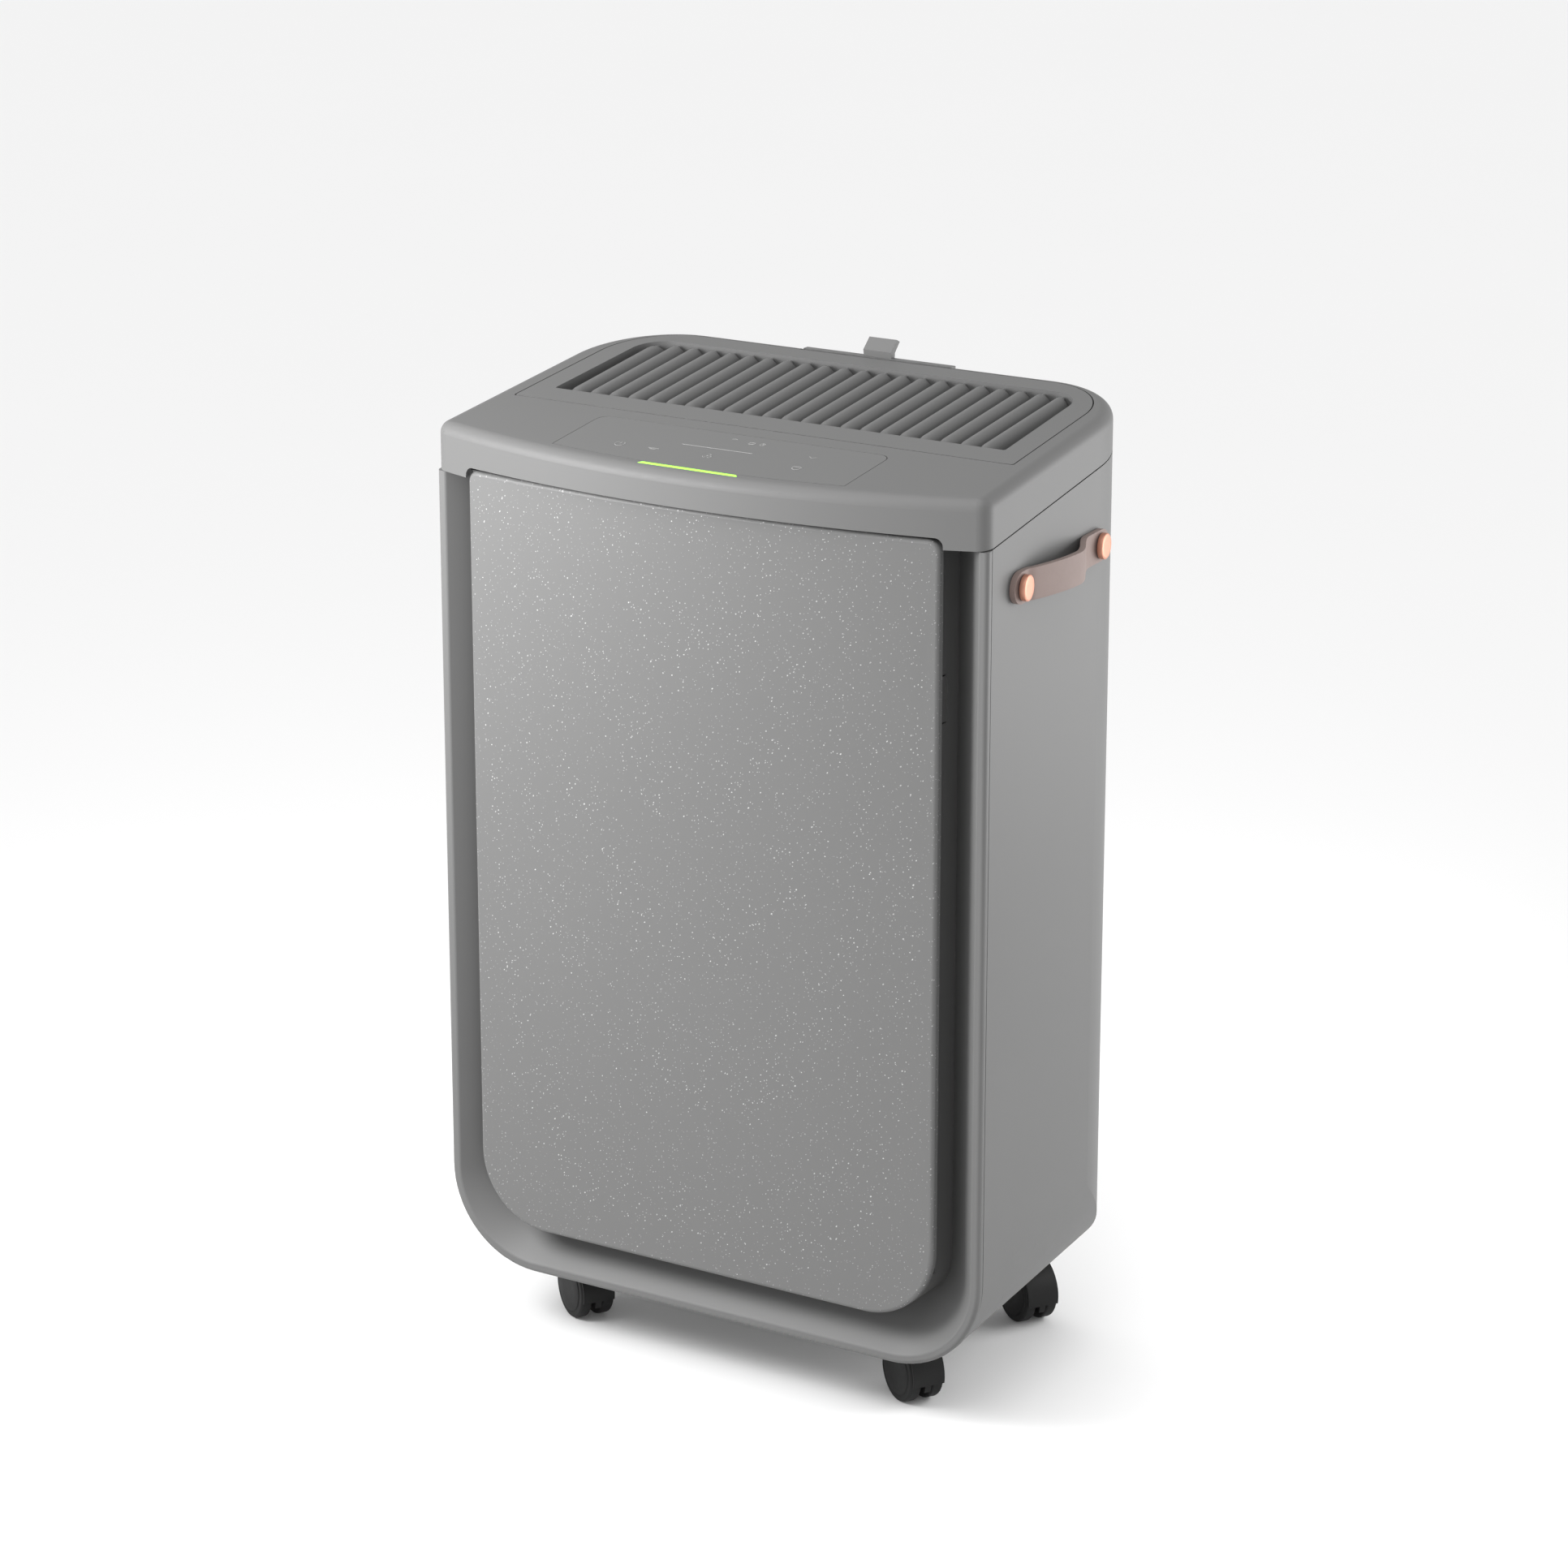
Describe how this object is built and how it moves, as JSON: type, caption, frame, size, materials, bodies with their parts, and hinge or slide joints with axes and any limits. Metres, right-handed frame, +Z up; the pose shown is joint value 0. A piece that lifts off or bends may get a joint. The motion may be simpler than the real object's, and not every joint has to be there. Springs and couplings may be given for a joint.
{
  "type": "dehumidifier",
  "caption": "Tall rounded dehumidifier on swivel casters with a bowed speckled front drawer, sloping top vent, touch panel and leather strap handles.",
  "frame": {"origin": "on the floor, under the middle of the body", "axes": "+Z up, the front faces -Y, +X is to the right seen from the front"},
  "size_m": [0.4034, 0.2258, 0.6003],
  "materials": {
    "shell_grey": "fine matte moulding",
    "cap_grey": "fine matte moulding",
    "panel_speckle": "matte grey with fine white speckles",
    "grille_grey": "matte",
    "lens_grey": "satin touch panel",
    "light_green": "lit translucent bar",
    "strap_leather": "smooth taupe leather",
    "pin_copper": "rose-gold plated, satin",
    "caster_black": "black nylon",
    "tread_black": "hard rubber tread",
    "tank_clear": "translucent smoke plastic",
    "inner_dark": "dark moulding",
    "mesh_dark": "fine nylon mesh",
    "black_paint": "black enamel",
    "fin_aluminium": "bare fins",
    "copper": "bare copper tube",
    "steel": "zinc plated",
    "board_green": "circuit board",
    "foot_rubber": "soft rubber"
  },
  "bodies": {
    "body": {"wrap_shell": "shell_grey", "front_frame": "shell_grey", "top_cap": "cap_grey", "outlet_grille": "grille_grey", "control_lens": "lens_grey", "light_bar": "light_green", "touch_board": "board_green", "bay_floor": "inner_dark", "base_pan": "inner_dark", "strap_left": "strap_leather", "strap_right": "strap_leather", "strap_pins": "pin_copper", "compressor": "black_paint", "compressor_feet": "foot_rubber", "evaporator": "fin_aluminium", "condenser": "fin_aluminium", "refrigerant_pipes": "copper", "fan_scroll": "inner_dark", "fan_motor": "black_paint", "electronics_box": "inner_dark", "drain_spigot": "inner_dark", "cord_inlet": "inner_dark", "cover_screws": "steel", "rear_cover": "shell_grey"},
    "drawer": {"front_panel": "panel_speckle", "drawer_tray": "shell_grey", "water_tank": "tank_clear", "tank_lid": "inner_dark"},
    "tank_handle": {"tank_handle": "shell_grey"},
    "tank_float": {"tank_float": "tank_clear"},
    "filter": {"filter_cassette": "shell_grey", "filter_mesh": "mesh_dark"},
    "fan_rotor": {"fan_shaft": "steel", "fan_wheel": "inner_dark"},
    "drain_cap": {"drain_cap": "foot_rubber"},
    "swivel_front_left": {"caster_hood_front_left": "caster_black"},
    "wheels_front_left": {"caster_axle_front_left": "steel", "caster_wheels_front_left": "tread_black"},
    "swivel_front_right": {"caster_hood_front_right": "caster_black"},
    "wheels_front_right": {"caster_axle_front_right": "steel", "caster_wheels_front_right": "tread_black"},
    "swivel_rear_left": {"caster_hood_rear_left": "caster_black"},
    "wheels_rear_left": {"caster_axle_rear_left": "steel", "caster_wheels_rear_left": "tread_black"},
    "swivel_rear_right": {"caster_hood_rear_right": "caster_black"},
    "wheels_rear_right": {"caster_axle_rear_right": "steel", "caster_wheels_rear_right": "tread_black"}
  },
  "joints": [
    {"name": "drawer_slide", "type": "slide", "parent": "body", "child": "drawer", "axis": [0, -1, 0], "range_m": [0, 0.13]},
    {"name": "tank_handle_hinge", "type": "hinge", "parent": "drawer", "child": "tank_handle", "pos_m": [0, -0.066, 0.293], "axis": [1, 0, 0], "range_deg": [0, 90]},
    {"name": "float_hinge", "type": "hinge", "parent": "drawer", "child": "tank_float", "pos_m": [-0.118, -0.05, 0.262], "axis": [1, 0, 0], "range_deg": [0, 15]},
    {"name": "filter_tilt", "type": "hinge", "parent": "body", "child": "filter", "pos_m": [0, 0.1045, 0.174], "axis": [-1, 0, 0], "range_deg": [0, 30]},
    {"name": "fan_spin", "type": "hinge", "parent": "body", "child": "fan_rotor", "pos_m": [0, 0, 0.44], "axis": [0, 1, 0], "continuous": true},
    {"name": "drain_cap_pull", "type": "slide", "parent": "body", "child": "drain_cap", "axis": [0, 1, 0], "range_m": [0, 0.02]},
    {"name": "swivel_front_left", "type": "hinge", "parent": "body", "child": "swivel_front_left", "pos_m": [-0.12091, -0.04391, 0.04], "axis": [0, 0, 1], "continuous": true},
    {"name": "swivel_front_right", "type": "hinge", "parent": "body", "child": "swivel_front_right", "pos_m": [0.11409, -0.04391, 0.04], "axis": [0, 0, 1], "continuous": true},
    {"name": "swivel_rear_left", "type": "hinge", "parent": "body", "child": "swivel_rear_left", "pos_m": [-0.12091, 0.09509, 0.04], "axis": [0, 0, 1], "continuous": true},
    {"name": "swivel_rear_right", "type": "hinge", "parent": "body", "child": "swivel_rear_right", "pos_m": [0.11409, 0.09509, 0.04], "axis": [0, 0, 1], "continuous": true},
    {"name": "wheels_front_left", "type": "hinge", "parent": "swivel_front_left", "child": "wheels_front_left", "pos_m": [-0.1175, -0.046, 0.019], "axis": [0.5225, 0.8526, 0], "continuous": true},
    {"name": "wheels_front_right", "type": "hinge", "parent": "swivel_front_right", "child": "wheels_front_right", "pos_m": [0.1175, -0.046, 0.019], "axis": [0.5225, 0.8526, 0], "continuous": true},
    {"name": "wheels_rear_left", "type": "hinge", "parent": "swivel_rear_left", "child": "wheels_rear_left", "pos_m": [-0.1175, 0.093, 0.019], "axis": [0.5225, 0.8526, 0], "continuous": true},
    {"name": "wheels_rear_right", "type": "hinge", "parent": "swivel_rear_right", "child": "wheels_rear_right", "pos_m": [0.1175, 0.093, 0.019], "axis": [0.5225, 0.8526, 0], "continuous": true}
  ]
}
